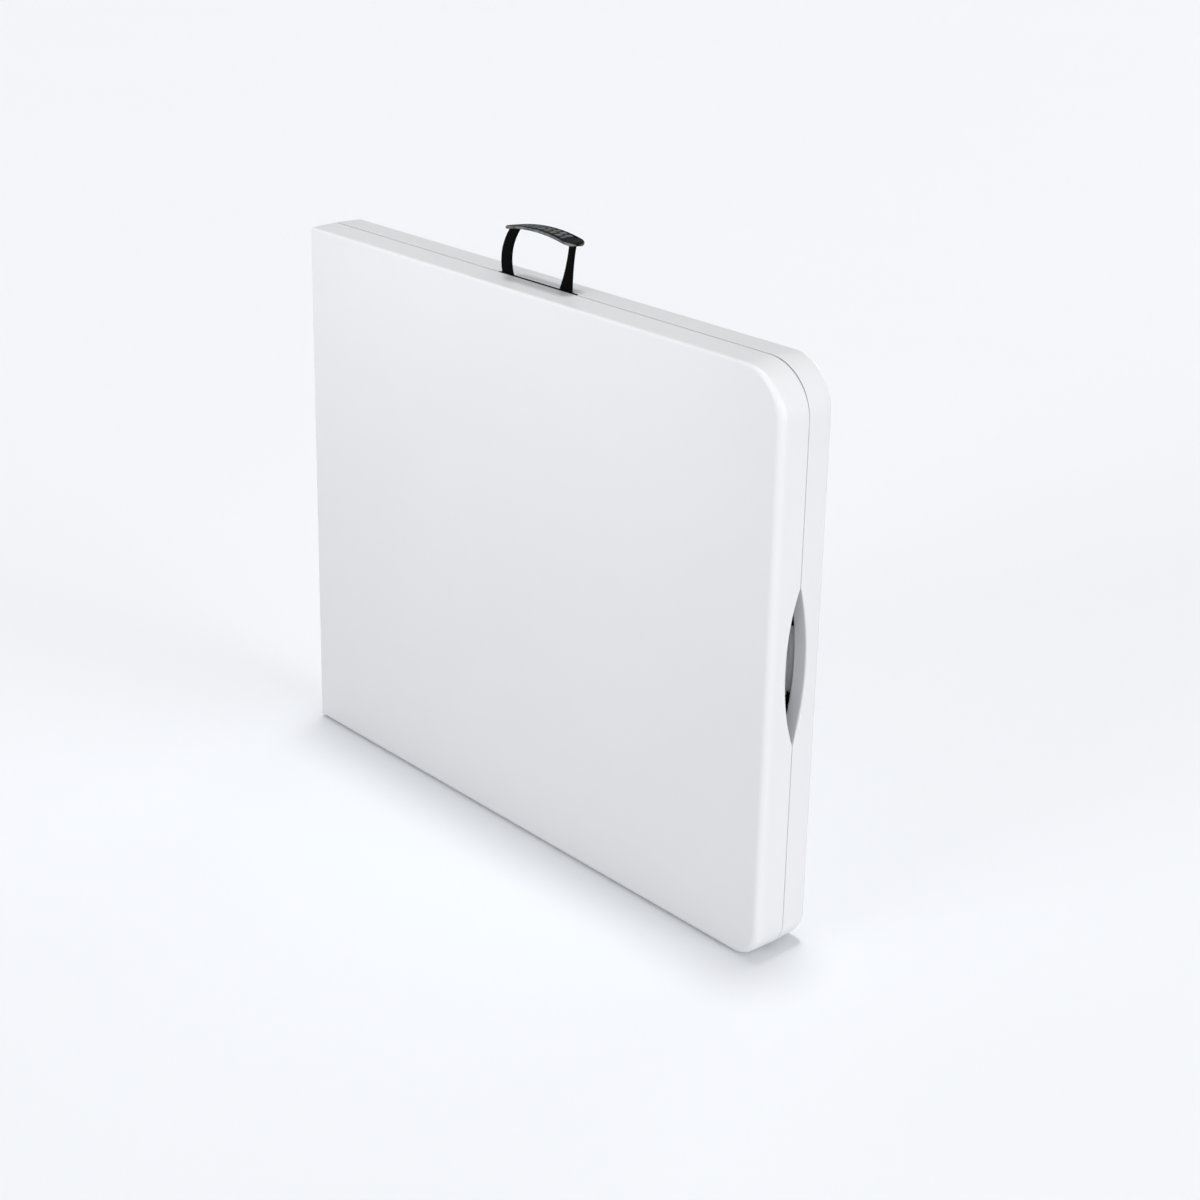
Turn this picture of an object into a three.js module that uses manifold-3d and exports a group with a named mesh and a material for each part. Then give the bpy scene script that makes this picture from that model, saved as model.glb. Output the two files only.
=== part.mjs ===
// A fold-in-half table, closed like a suitcase and standing on one long edge.
//
// Frame, in millimetres: X runs along the closed table from the fold (-X) to the outer end (+X),
// Y runs through its thickness (half A is at -Y, half B at +Y, both table tops face outward),
// Z is up, and the origin is on the floor under the middle.
// Each half is a moulded plastic tray holding two rails and a leg frame. A leg frame is a pair of
// steel tubes that telescope, and a bent steel brace that snaps into two clips under the table top.
import * as THREE from 'three';
import { mergeVertices } from 'three/addons/utils/BufferGeometryUtils.js';
import Module from 'manifold-3d';

const wasm = await Module();
wasm.setup();

// ---- driving dimensions ----
const LENGTH = 915;               // one half, from the fold to the outer end
const WIDTH = 760;                // floor edge to handle edge when closed
const HALF_THICKNESS = 44;        // one half; the closed table is twice this
const SEAM_GAP = 0.8;             // between the two rims
const GAP = 0.3;                  // between pieces that touch
const DECK = 14;                  // plastic under the table top
const RIM = 22;                   // width of the rim around each tray
const HANDLE_CORNER_RADIUS = 66;
const FLOOR_CORNER_RADIUS = 44;
const FOLD_CORNER_RADIUS = 6;
const EDGE_ROUNDING = 5;

const LENS_LENGTH = 204;          // finger opening in the outer end
const LENS_DEPTH = 17;            // into each half
const LENS_RISE = 8;              // above mid-width

const RAIL_SIZE = 20;             // square tube
const RAIL_WALL = 1.5;
const RAIL_OFFSET = 325;          // from mid-width
const RAIL_START = 28;            // from the fold
const RAIL_END = 60;              // from the outer end

const TUBE_RADIUS = 12.5;         // pivot tube and outer leg tubes
const TUBE_WALL = 1.2;
const INNER_RADIUS = 10.8;        // inner leg tubes
const LEG_DEPTH = 15.5;           // leg plane, from the seam plane
const LEG_SPREAD = 270;           // leg tubes, from mid-width
const LEG_PIVOT = 45;             // from the outer end
const PIVOT_CLIP_SPREAD = 60;     // pivot clips, from mid-width
const PIVOT_CLIP_LENGTH = 30;
const OUTER_TUBE_END = 404;       // from the leg pivot
const FOOT_BAR = 445;             // from the leg pivot, legs pushed in
const FOOT_BAR_RADIUS = 10.8;
const FOOT_RADIUS = 12.6;
const FOOT_BAR_OVERHANG = 10.5;   // foot bar past the middle of each leg tube
const CROSSBAR = 345;             // from the leg pivot
const CROSSBAR_RADIUS = 9.5;
const COLLAR_RADIUS = 14.4;

const BRACE_PIVOT = 300;          // from the leg pivot
const BRACE_LENGTH = 476;
const BRACE_RADIUS = 4.5;
const BRACE_SPREAD = 295;         // brace arms, from mid-width
const BRACE_BEND = 24;
const BRACE_EYE_RADIUS = 9;
const BRACE_EYE_THICKNESS = 7;
const STUD_RADIUS = 4;
const CLIP_SPREAD = 130;          // brace clips, from mid-width
const CLIP_LENGTH = 28;

const HINGE_LENGTH = 50;
const BARREL_RADIUS = 6;
const PIN_RADIUS = 3;
const LEAF_THICKNESS = 3;
const LEAF_LENGTH = 120;          // along the rail

const SLOT_START = -96;           // ends of the handle's slot in the rim
const SLOT_END = 58;
const SLOT_DEPTH = 5.6;           // from the seam plane into half B
const RETAINER_OVERLAP = 7;       // retainer bar past each end of the slot
const RETAINER_HEIGHT = 9;
const WEB_DROP = 1.8;             // top of the web that fills the slot, below the rim
const STRAP_THICKNESS = 4.6;
const GRIP_X = -8;                // grip centre along the table
const GRIP_HEIGHT = 63;           // middle of the grip's ends above the rim
const GRIP_LENGTH = 128;
const GRIP_WIDTH = 37;
const GRIP_THICKNESS = 5;
const GRIP_ARCH = 7.5;            // rise of the grip's middle
const GRIP_CORNER = 14;
const GRIP_TILT = 5;              // degrees, front edge up

// Each strap leg at its foot, halfway up and at the grip: [middle, width].
const STRAP_LEGS = [
  [[-79, 20], [-80, 18], [-63, 17]],
  [[34.5, 22], [41, 12], [46.5, 11]],
];

// ---- derived places ----
const FOLD_X = -LENGTH / 2;
const END_X = LENGTH / 2;
const PIVOT_X = END_X - LEG_PIVOT;
const MID_Z = WIDTH / 2;
const DECK_Y = -(HALF_THICKNESS - DECK);        // inner face of half A's deck
const RAIL_Y = DECK_Y + GAP + RAIL_SIZE / 2;
const LEAF_Y = RAIL_Y + RAIL_SIZE / 2 + GAP;    // face of the rail that carries a hinge leaf
const BRACE_X = PIVOT_X - BRACE_PIVOT;
const CLIP_X = PIVOT_X - Math.sqrt(BRACE_LENGTH ** 2 - BRACE_PIVOT ** 2);

// ---- materials ----
function finish(color, roughness, metalness = 0) {
  return new THREE.MeshStandardMaterial({ color, roughness, metalness });
}
const whitePlastic = finish(0xe9eaec, 0.45);
const blackPlastic = finish(0x17181a, 0.5);
const greyPaint = finish(0xc3c6c8, 0.4, 0.2);
const steel = finish(0xb9bcbe, 0.3, 0.9);
const rubber = finish(0x26272a, 0.8);

// ---- shape helpers ----
function solid(geometry) {
  const bare = geometry.clone();
  bare.deleteAttribute('normal');
  bare.deleteAttribute('uv');
  const merged = mergeVertices(bare, 1e-4);
  return new wasm.Manifold(new wasm.Mesh({
    numProp: 3,
    vertProperties: new Float32Array(merged.attributes.position.array),
    triVerts: new Uint32Array(merged.index.array),
  }));
}

function geometryOf(manifold) {
  const mesh = manifold.getMesh();
  const geometry = new THREE.BufferGeometry();
  geometry.setAttribute('position', new THREE.BufferAttribute(mesh.vertProperties, 3));
  geometry.setIndex(new THREE.BufferAttribute(mesh.triVerts, 1));
  return geometry;
}

function arcPoints(cx, cy, radius, from, to, steps) {
  const points = [];
  for (let i = 0; i <= steps; i += 1) {
    const angle = from + (to - from) * i / steps;
    points.push(new THREE.Vector2(cx + radius * Math.cos(angle), cy + radius * Math.sin(angle)));
  }
  return points;
}

function circlePoints(radius, count) {
  return arcPoints(0, 0, radius, 0, Math.PI * 2 * (1 - 1 / count), count - 1);
}

// A shape pushed out along its own z, centred on zero.
function slab(shape, depth) {
  const geometry = new THREE.ExtrudeGeometry(shape, { depth, bevelEnabled: false });
  return geometry.translate(0, 0, -depth / 2);
}

function ring(radius, bore, depth, count = 16) {
  const shape = new THREE.Shape(circlePoints(radius, count));
  if (bore > 0) {
    shape.holes.push(new THREE.Path(circlePoints(bore, count)));
  }
  return slab(shape, depth);
}

function box(x0, x1, y0, y1, z0, z1) {
  const geometry = new THREE.BoxGeometry(x1 - x0, y1 - y0, z1 - z0);
  return geometry.translate((x0 + x1) / 2, (y0 + y1) / 2, (z0 + z1) / 2);
}

function tubeAlongX(radius, bore, x0, x1, y, z, count = 16) {
  return ring(radius, bore, x1 - x0, count).rotateY(Math.PI / 2).translate((x0 + x1) / 2, y, z);
}

function tubeAlongZ(radius, bore, z0, z1, x, y, count = 16) {
  return ring(radius, bore, z1 - z0, count).translate(x, y, (z0 + z1) / 2);
}

function place(group, name, geometry, material) {
  const mesh = new THREE.Mesh(geometry, material);
  mesh.name = name;
  group.add(mesh);
}

// The outline of a half seen from its top: square at the fold, with large corners at the outer end,
// the larger one by the handle.
function trayOutline(inset, isB) {
  const x0 = FOLD_X + SEAM_GAP / 2 + inset;
  const x1 = END_X - inset;
  const z = WIDTH / 2 - inset;
  const highRadius = (isB ? FLOOR_CORNER_RADIUS : HANDLE_CORNER_RADIUS) - inset;
  const lowRadius = (isB ? HANDLE_CORNER_RADIUS : FLOOR_CORNER_RADIUS) - inset;
  const foldRadius = FOLD_CORNER_RADIUS;
  const quarter = Math.PI / 2;
  return new THREE.Shape([
    ...arcPoints(x1 - highRadius, z - highRadius, highRadius, 0, quarter, 10),
    ...arcPoints(x0 + foldRadius, z - foldRadius, foldRadius, quarter, 2 * quarter, 3),
    ...arcPoints(x0 + foldRadius, foldRadius - z, foldRadius, 2 * quarter, 3 * quarter, 3),
    ...arcPoints(x1 - lowRadius, lowRadius - z, lowRadius, 3 * quarter, 4 * quarter, 10),
  ]);
}

// ---- the pieces of one half, in half A's place with z measured from mid-width ----

// Both halves' outline, with rounded outer edges, cut at the seam.
function trayBlank(isB) {
  const geometry = new THREE.ExtrudeGeometry(trayOutline(0, isB), {
    depth: 2 * (HALF_THICKNESS - EDGE_ROUNDING),
    bevelEnabled: true,
    bevelThickness: EDGE_ROUNDING,
    bevelSize: EDGE_ROUNDING,
    bevelOffset: -EDGE_ROUNDING,
    bevelSegments: 4,
  });
  geometry.translate(0, 0, -(HALF_THICKNESS - EDGE_ROUNDING));
  geometry.rotateX(Math.PI / 2);
  const nearSide = box(-LENGTH, LENGTH, -2 * HALF_THICKNESS, -SEAM_GAP / 2, -WIDTH, WIDTH);
  return solid(geometry).intersect(solid(nearSide));
}

function trayCavity(isB) {
  const depth = HALF_THICKNESS;
  return slab(trayOutline(RIM, isB), depth).rotateX(Math.PI / 2).translate(0, DECK_Y + depth / 2, 0);
}

// The lens-shaped bite out of the outer end, an arc across the seam.
function lensCut(rise) {
  const halfLength = LENS_LENGTH / 2;
  const radius = (halfLength ** 2 + LENS_DEPTH ** 2) / (2 * LENS_DEPTH);
  const reach = Math.asin(halfLength / radius);
  const bottom = -Math.PI / 2;
  const arc = arcPoints(0, radius - LENS_DEPTH, radius, bottom - reach, bottom + reach, 16);
  const above = HALF_THICKNESS;
  const shape = new THREE.Shape([
    ...arc,
    new THREE.Vector2(halfLength, above),
    new THREE.Vector2(-halfLength, above),
  ]);
  const cut = slab(shape, 2 * RIM + 20);
  cut.rotateY(Math.PI / 2);
  return cut.translate(END_X, 0, rise);
}

// Room for a hinge barrel and leaf through the end wall at the fold.
function hingePocket(z) {
  const half = HINGE_LENGTH / 2 + 3;
  return box(FOLD_X - 10, FOLD_X + RIM + 10, LEAF_Y - GAP - 0.2, 10, z - half, z + half);
}

function tray(isB) {
  let body = trayBlank(isB);
  body = body.subtract(solid(trayCavity(isB)));
  body = body.subtract(solid(lensCut(isB ? -LENS_RISE : LENS_RISE)));
  for (const side of [-1, 1]) {
    body = body.subtract(solid(hingePocket(side * RAIL_OFFSET)));
  }
  if (isB) {
    // the slot that the handle strap slides in
    body = body.subtract(solid(box(
      SLOT_START, SLOT_END, -SLOT_DEPTH, 5, -WIDTH / 2 - 10, -WIDTH / 2 + RIM + 5,
    )));
  }
  return geometryOf(body);
}

function rail(side) {
  const half = RAIL_SIZE / 2;
  const shape = new THREE.Shape([[-half, -half], [half, -half], [half, half], [-half, half]]
    .map(([x, y]) => new THREE.Vector2(x, y)));
  const bore = half - RAIL_WALL;
  shape.holes.push(new THREE.Path([[-bore, -bore], [-bore, bore], [bore, bore], [bore, -bore]]
    .map(([x, y]) => new THREE.Vector2(x, y))));
  const x0 = FOLD_X + RAIL_START;
  const x1 = END_X - RAIL_END;
  return slab(shape, x1 - x0).rotateY(Math.PI / 2).translate((x0 + x1) / 2, RAIL_Y, side * RAIL_OFFSET);
}

// One hinge leaf: a plate on the rail, with knuckles around the fold's axis at the given z spans.
function hingeLeaf(side, knuckles) {
  const z = side * RAIL_OFFSET;
  const half = HINGE_LENGTH / 2;
  const start = FOLD_X + 0.6;
  const plate = box(start, FOLD_X + LEAF_LENGTH, LEAF_Y, LEAF_Y + LEAF_THICKNESS, z - half, z + half);
  let leaf = solid(plate);
  for (const [from, to] of knuckles) {
    const web = box(start, FOLD_X + BARREL_RADIUS, LEAF_Y, 0, z + from, z + to);
    const barrel = tubeAlongZ(BARREL_RADIUS, 0, z + from, z + to, FOLD_X, 0);
    leaf = leaf.add(solid(web)).add(solid(barrel));
  }
  const bore = tubeAlongZ(PIN_RADIUS + GAP, 0, z - half - 1, z + half + 1, FOLD_X, 0, 12);
  leaf = leaf.subtract(solid(bore));
  for (const x of rivetPlaces()) {
    const hole = ring(2.9, 0, 3 * LEAF_THICKNESS, 12).rotateX(Math.PI / 2).translate(x, LEAF_Y, z);
    leaf = leaf.subtract(solid(hole));
  }
  return geometryOf(leaf);
}

function rivetPlaces() {
  return [FOLD_X + 52, FOLD_X + 100];
}

// A dome-headed rivet: its shank fills the leaf's hole and its head sits on the leaf.
function rivet(x, z) {
  const shank = 2.5;
  const head = 5;
  const dome = arcPoints(0, 0, head, 0, Math.PI / 2, 4).map((p) => new THREE.Vector2(p.x, p.y * 0.45));
  const profile = [
    new THREE.Vector2(0, -LEAF_THICKNESS),
    new THREE.Vector2(shank, -LEAF_THICKNESS),
    new THREE.Vector2(shank, 0),
    ...dome,
  ];
  profile[profile.length - 1].x = 0;
  return new THREE.LatheGeometry(profile, 12).translate(x, LEAF_Y + LEAF_THICKNESS + GAP, z);
}

function hingePin(side) {
  const z = side * RAIL_OFFSET;
  const half = HINGE_LENGTH / 2;
  const head = solid(tubeAlongZ(PIN_RADIUS + 2, 0, z + half + GAP, z + half + 2.3, FOLD_X, 0, 12));
  const shank = solid(tubeAlongZ(PIN_RADIUS, 0, z - half - 1, z + half + 1, FOLD_X, 0, 12));
  return geometryOf(head.add(shank));
}

// A plastic block on the deck that the leg pivot tube turns in.
function pivotClip(z) {
  const back = DECK_Y + GAP;
  const front = -LEG_DEPTH + TUBE_RADIUS + 1.6;
  const half = PIVOT_CLIP_LENGTH / 2;
  const block = solid(box(PIVOT_X - 17, PIVOT_X + 17, back, front, z - half, z + half));
  const bore = tubeAlongZ(TUBE_RADIUS + GAP, 0, z - 2 * half, z + 2 * half, PIVOT_X, -LEG_DEPTH);
  return geometryOf(block.subtract(solid(bore)));
}

function legPivotTube() {
  const half = RAIL_OFFSET - RAIL_SIZE / 2 - 2;
  return tubeAlongZ(TUBE_RADIUS, TUBE_RADIUS - TUBE_WALL, -half, half, PIVOT_X, -LEG_DEPTH);
}

function outerTube(side) {
  const start = PIVOT_X - TUBE_RADIUS - GAP;
  const bore = TUBE_RADIUS - TUBE_WALL;
  const end = PIVOT_X - OUTER_TUBE_END;
  return tubeAlongX(TUBE_RADIUS, bore, end, start, -LEG_DEPTH, side * LEG_SPREAD);
}

function crossbar() {
  const half = LEG_SPREAD - TUBE_RADIUS - GAP;
  const bore = CROSSBAR_RADIUS - TUBE_WALL;
  return tubeAlongZ(CROSSBAR_RADIUS, bore, -half, half, PIVOT_X - CROSSBAR, -LEG_DEPTH);
}

function innerTube(side) {
  const start = PIVOT_X - FOOT_BAR + FOOT_BAR_RADIUS + GAP;
  const end = PIVOT_X - TUBE_RADIUS - 12;
  const bore = INNER_RADIUS - TUBE_WALL;
  return tubeAlongX(INNER_RADIUS, bore, start, end, -LEG_DEPTH, side * LEG_SPREAD);
}

function footBar() {
  const half = LEG_SPREAD + FOOT_BAR_OVERHANG;
  const bore = FOOT_BAR_RADIUS - TUBE_WALL;
  return tubeAlongZ(FOOT_BAR_RADIUS, bore, -half, half, PIVOT_X - FOOT_BAR, -LEG_DEPTH);
}

// A moulded cap closing the end of the foot bar, with a plug inside it.
function footCap(side) {
  const mouth = LEG_SPREAD + FOOT_BAR_OVERHANG + GAP;
  const end = mouth + 6.5;
  const plugRadius = FOOT_BAR_RADIUS - TUBE_WALL - GAP - 0.1;
  const x = PIVOT_X - FOOT_BAR;
  const cap = tubeAlongZ(FOOT_RADIUS, 0, mouth, end, x, 0);
  const plug = tubeAlongZ(plugRadius, 0, mouth - 22, end, x, 0);
  const geometry = geometryOf(solid(cap).add(solid(plug)));
  return geometry.rotateX(side > 0 ? 0 : Math.PI).translate(0, -LEG_DEPTH, 0);
}

// A twist lock around the mouth of an outer tube.
function collar(side) {
  const mouth = PIVOT_X - OUTER_TUBE_END;
  const body = tubeAlongX(COLLAR_RADIUS, TUBE_RADIUS + GAP, mouth - 2, mouth + 34, -LEG_DEPTH,
    side * LEG_SPREAD);
  const lip = tubeAlongX(COLLAR_RADIUS, INNER_RADIUS + GAP, mouth - 8, mouth - 1.5, -LEG_DEPTH,
    side * LEG_SPREAD);
  return geometryOf(solid(body).add(solid(lip)));
}

// The stud that a brace arm turns on, on the outside of an outer tube.
function braceStud(side) {
  const root = LEG_SPREAD + TUBE_RADIUS + GAP;
  const tip = BRACE_SPREAD + 7;
  const from = Math.min(side * root, side * tip);
  const to = Math.max(side * root, side * tip);
  const stud = solid(tubeAlongZ(STUD_RADIUS, 0, from, to, BRACE_X, -LEG_DEPTH, 12));
  const capFrom = Math.min(side * (tip - 2), side * tip);
  const cap = solid(tubeAlongZ(7, 0, capFrom, capFrom + 2, BRACE_X, -LEG_DEPTH, 12));
  return geometryOf(stud.add(cap));
}

// A steel rod bent into a U: an eye at the end of each arm, and a bar that the clips hold.
function brace() {
  const tip = BRACE_X - BRACE_LENGTH;
  const start = tip + BRACE_BEND;
  const barHalf = BRACE_SPREAD - BRACE_BEND;
  const overlap = 0.5;
  const section = new THREE.Shape(circlePoints(BRACE_RADIUS, 10));
  const bar = ring(BRACE_RADIUS, 0, 2 * barHalf + 2 * overlap, 10).translate(tip, -LEG_DEPTH, 0);
  let rod = solid(bar);
  for (const side of [-1, 1]) {
    const arm = tubeAlongX(BRACE_RADIUS, 0, start - overlap, BRACE_X - BRACE_EYE_RADIUS + 2, -LEG_DEPTH,
      side * BRACE_SPREAD, 10);
    const bend = new THREE.QuadraticBezierCurve3(
      new THREE.Vector3(start, -LEG_DEPTH, side * BRACE_SPREAD),
      new THREE.Vector3(tip, -LEG_DEPTH, side * BRACE_SPREAD),
      new THREE.Vector3(tip, -LEG_DEPTH, side * barHalf),
    );
    const elbow = new THREE.ExtrudeGeometry(section, { steps: 7, extrudePath: bend });
    rod = rod.add(solid(arm)).add(solid(elbow));
  }
  for (const side of [-1, 1]) {
    const z = side * BRACE_SPREAD;
    const half = BRACE_EYE_THICKNESS / 2;
    const hole = STUD_RADIUS + 0.4;
    rod = rod.add(solid(tubeAlongZ(BRACE_EYE_RADIUS, 0, z - half, z + half, BRACE_X, -LEG_DEPTH)));
    rod = rod.subtract(solid(tubeAlongZ(hole, 0, z - 10, z + 10, BRACE_X, -LEG_DEPTH, 12)));
  }
  return geometryOf(rod);
}

// A plastic hook under the deck: the brace bar rests against its back and above its lip.
function braceClip(z) {
  const seat = BRACE_RADIUS + 0.6;
  const profile = [
    [CLIP_X - 16, DECK_Y + GAP],
    [CLIP_X + 22, DECK_Y + GAP],
    [CLIP_X + 22, DECK_Y + 5],
    [CLIP_X + seat + 5, DECK_Y + 8],
    [CLIP_X + seat + 5, -LEG_DEPTH + seat + 3],
    [CLIP_X + 1, -LEG_DEPTH + seat + 3],
    [CLIP_X + 1, -LEG_DEPTH + seat],
    [CLIP_X + seat, -LEG_DEPTH + seat - 2],
    [CLIP_X + seat, -LEG_DEPTH - seat + 1.5],
    [CLIP_X + seat - 2, -LEG_DEPTH - seat],
    [CLIP_X - 16, -LEG_DEPTH - seat],
  ];
  const shape = new THREE.Shape(profile.map(([x, y]) => new THREE.Vector2(x, y)));
  return slab(shape, CLIP_LENGTH).translate(0, 0, z);
}

// ---- the handle, in the closed table's frame ----

// A smooth curve's value at t from 0 to 1, given its values at 0, a half and 1.
function through(start, middle, end, t) {
  return start * (1 - t) * (1 - 2 * t) + middle * 4 * t * (1 - t) + end * t * (2 * t - 1);
}

// A retainer bar inside the rim, a web that fills the slot, and two flexible legs, as one moulding.
function handleStrap() {
  const y = SEAM_GAP / 2 + GAP + STRAP_THICKNESS / 2;
  const near = y - STRAP_THICKNESS / 2;
  const far = y + STRAP_THICKNESS / 2;
  const barTop = WIDTH - RIM - GAP;
  const foot = barTop - 2;
  const top = WIDTH + GRIP_HEIGHT - GRIP_THICKNESS / 2 - 2 * GAP;
  const bar = box(SLOT_START - RETAINER_OVERLAP, SLOT_END + RETAINER_OVERLAP, near, far,
    barTop - RETAINER_HEIGHT, barTop);
  const web = box(SLOT_START + 1, SLOT_END - 1, near, far, foot, WIDTH - WEB_DROP);
  let strap = solid(bar).add(solid(web));
  for (const [low, middle, high] of STRAP_LEGS) {
    const left = [];
    const right = [];
    const steps = 10;
    for (let i = 0; i <= steps; i += 1) {
      const z = foot + (top - foot) * i / steps;
      const t = Math.max(0, (z - WIDTH) / (top - WIDTH));
      const x = through(low[0], middle[0], high[0], t);
      const half = through(low[1], middle[1], high[1], t) / 2;
      left.push(new THREE.Vector2(x - half, z));
      right.push(new THREE.Vector2(x + half, z));
    }
    const leg = slab(new THREE.Shape([...right, ...left.reverse()]), STRAP_THICKNESS);
    leg.rotateX(Math.PI / 2).translate(0, y, 0);
    strap = strap.add(solid(leg));
  }
  return geometryOf(strap);
}

// A thin arched leaf with round corners, resting on the strap legs.
function handleGrip() {
  const half = GRIP_LENGTH / 2;
  const radius = (half ** 2 + GRIP_ARCH ** 2) / (2 * GRIP_ARCH);
  const reach = Math.asin(half / radius);
  const up = Math.PI / 2;
  const outer = arcPoints(0, GRIP_ARCH - radius, radius + GRIP_THICKNESS / 2, up - reach, up + reach, 12);
  const inner = arcPoints(0, GRIP_ARCH - radius, radius - GRIP_THICKNESS / 2, up + reach, up - reach, 12);
  const side = slab(new THREE.Shape([...outer, ...inner]), GRIP_WIDTH).rotateX(Math.PI / 2);
  const x = half - GRIP_CORNER;
  const y = GRIP_WIDTH / 2 - GRIP_CORNER;
  const plan = new THREE.Shape([
    ...arcPoints(x, y, GRIP_CORNER, 0, up, 5),
    ...arcPoints(-x, y, GRIP_CORNER, up, 2 * up, 5),
    ...arcPoints(-x, -y, GRIP_CORNER, 2 * up, 3 * up, 5),
    ...arcPoints(x, -y, GRIP_CORNER, 3 * up, 4 * up, 5),
  ]);
  const geometry = geometryOf(solid(side).intersect(solid(slab(plan, 80))));
  geometry.rotateX(THREE.MathUtils.degToRad(-GRIP_TILT));
  return geometry.translate(GRIP_X, SEAM_GAP / 2 + GAP + STRAP_THICKNESS / 2, WIDTH + GRIP_HEIGHT);
}

// ---- assembly ----

// A half is built once in half A's place; half B is the same turned over about the table's length.
function buildHalf(half) {
  const isB = half === 'b';
  const group = new THREE.Group();
  group.position.z = MID_Z;
  group.rotation.x = isB ? Math.PI : 0;
  const edge = (side) => ((side > 0) === isB ? 'floor_side' : 'handle_side');
  const end = HINGE_LENGTH / 2;
  const inner = HINGE_LENGTH * 0.2;
  const outerKnuckles = [[-end, -inner], [inner, end]];
  const middleKnuckle = [[GAP - inner, inner - GAP]];

  place(group, `panel_${half}`, tray(isB), whitePlastic);
  for (const side of [-1, 1]) {
    place(group, `rail_${half}_${edge(side)}`, rail(side), greyPaint);
    const leaf = hingeLeaf(side, isB ? middleKnuckle : outerKnuckles);
    place(group, `hinge_leaf_${half}_${edge(side)}`, leaf, steel);
    rivetPlaces().forEach((x, index) => {
      place(group, `hinge_rivet_${half}_${edge(side)}_${index + 1}`, rivet(x, side * RAIL_OFFSET), steel);
    });
    if (!isB) {
      place(group, `hinge_pin_${edge(side)}`, hingePin(side), steel);
    }
    place(group, `leg_${half}_outer_tube_${edge(side)}`, outerTube(side), greyPaint);
    place(group, `leg_${half}_inner_tube_${edge(side)}`, innerTube(side), greyPaint);
    place(group, `leg_${half}_collar_${edge(side)}`, collar(side), blackPlastic);
    place(group, `leg_${half}_foot_cap_${edge(side)}`, footCap(side), rubber);
    place(group, `pivot_clip_${half}_${edge(side)}`, pivotClip(side * PIVOT_CLIP_SPREAD), blackPlastic);
    place(group, `brace_stud_${half}_${edge(side)}`, braceStud(side), steel);
    place(group, `brace_clip_${half}_${edge(side)}`, braceClip(side * CLIP_SPREAD), blackPlastic);
  }
  place(group, `leg_${half}_pivot_tube`, legPivotTube(), greyPaint);
  place(group, `leg_${half}_crossbar`, crossbar(), greyPaint);
  place(group, `leg_${half}_foot_bar`, footBar(), greyPaint);
  place(group, `brace_${half}`, brace(), greyPaint);
  return group;
}

const table = new THREE.Group();
table.add(buildHalf('a'));
table.add(buildHalf('b'));
place(table, 'handle_strap', handleStrap(), blackPlastic);
place(table, 'handle_grip', handleGrip(), blackPlastic);

export default table;
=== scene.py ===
"""A fold-in-half table, closed like a suitcase and standing on its long edge, on a pale floor.

Everything is in metres, in the CAD model's frame. mm turns millimetres into metres. A half is built
in half A's place with z measured from the table's mid-width; half B is the same turned over about X.
"""

import math

import bmesh
import bpy
from mathutils import Matrix, Vector


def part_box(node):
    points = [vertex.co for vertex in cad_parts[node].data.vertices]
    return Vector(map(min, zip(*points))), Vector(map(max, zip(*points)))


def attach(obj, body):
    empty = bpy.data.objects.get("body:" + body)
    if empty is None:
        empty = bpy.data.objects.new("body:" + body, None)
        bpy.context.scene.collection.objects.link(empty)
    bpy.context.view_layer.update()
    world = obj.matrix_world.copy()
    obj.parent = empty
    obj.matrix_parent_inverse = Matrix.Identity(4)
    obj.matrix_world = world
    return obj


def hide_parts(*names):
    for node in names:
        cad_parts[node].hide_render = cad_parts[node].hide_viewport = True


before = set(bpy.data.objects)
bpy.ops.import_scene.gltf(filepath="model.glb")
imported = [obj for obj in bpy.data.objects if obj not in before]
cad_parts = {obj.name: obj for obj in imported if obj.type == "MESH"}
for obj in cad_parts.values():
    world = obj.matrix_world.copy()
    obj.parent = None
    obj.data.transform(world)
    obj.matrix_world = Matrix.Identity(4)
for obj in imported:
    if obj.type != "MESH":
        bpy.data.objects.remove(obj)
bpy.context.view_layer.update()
mm = 0.001

# ---------------------------------------------------------------- sizes read from the frame
PANEL_LOW, PANEL_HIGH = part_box("panel_a")
FOLD_X = PANEL_LOW.x
END_X = PANEL_HIGH.x
WIDTH = PANEL_HIGH.z
MID_Z = WIDTH / 2
THICKNESS = -PANEL_LOW.y
SEAM = -PANEL_HIGH.y
PIVOT_LOW, PIVOT_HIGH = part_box("leg_a_pivot_tube")
LEG_Y = (PIVOT_LOW.y + PIVOT_HIGH.y) / 2
PIVOT_X = (PIVOT_LOW.x + PIVOT_HIGH.x) / 2
LEAF_LOW, LEAF_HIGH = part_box("hinge_leaf_a_handle_side")
STRAP_LOW, STRAP_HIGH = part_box("handle_strap")
GRIP_LOW, GRIP_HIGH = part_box("handle_grip")

# ---------------------------------------------------------------- the panels' own dimensions
DECK = 14 * mm
RIM = 22 * mm
HANDLE_CORNER = 66 * mm               # the outline's two outer corners
FLOOR_CORNER = 44 * mm
FOLD_CORNER = 6 * mm
EDGE_ROUNDING = 4 * mm                # of the table top's edge, by the handle and the fold
FLOOR_ROUNDING = 7 * mm               # and where the table stands
END_ROUNDING = 10 * mm                # and at the outer end
SEAM_ROUNDING = 1.2 * mm              # of the rims' edges along the seam
SEAM_ROUNDING_END = 1.1 * mm          # and at the outer end
SEAM_ROUNDING_SLOT = 0.8 * mm         # and on the rim that holds the handle's slot
SEAM_ROUNDING_FOLD = 0.8 * mm
SEAM_BACK = 1.0 * mm                  # how far the rims draw back from the CAD seam
DRAFT = 1.8 * mm                      # the sides lean in by this much, from seam to table top
LENS_LENGTH = 204 * mm                # the finger opening in the outer end
LENS_DEPTH = 17 * mm
LENS_RISE = 8 * mm                    # above mid-width
LENS_ROUNDING = 2.6 * mm
POCKET_HALF = 28 * mm                 # half the length of the room for a hinge
STEP = 0.2 * mm                       # how steep the side of a pocket is
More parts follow.
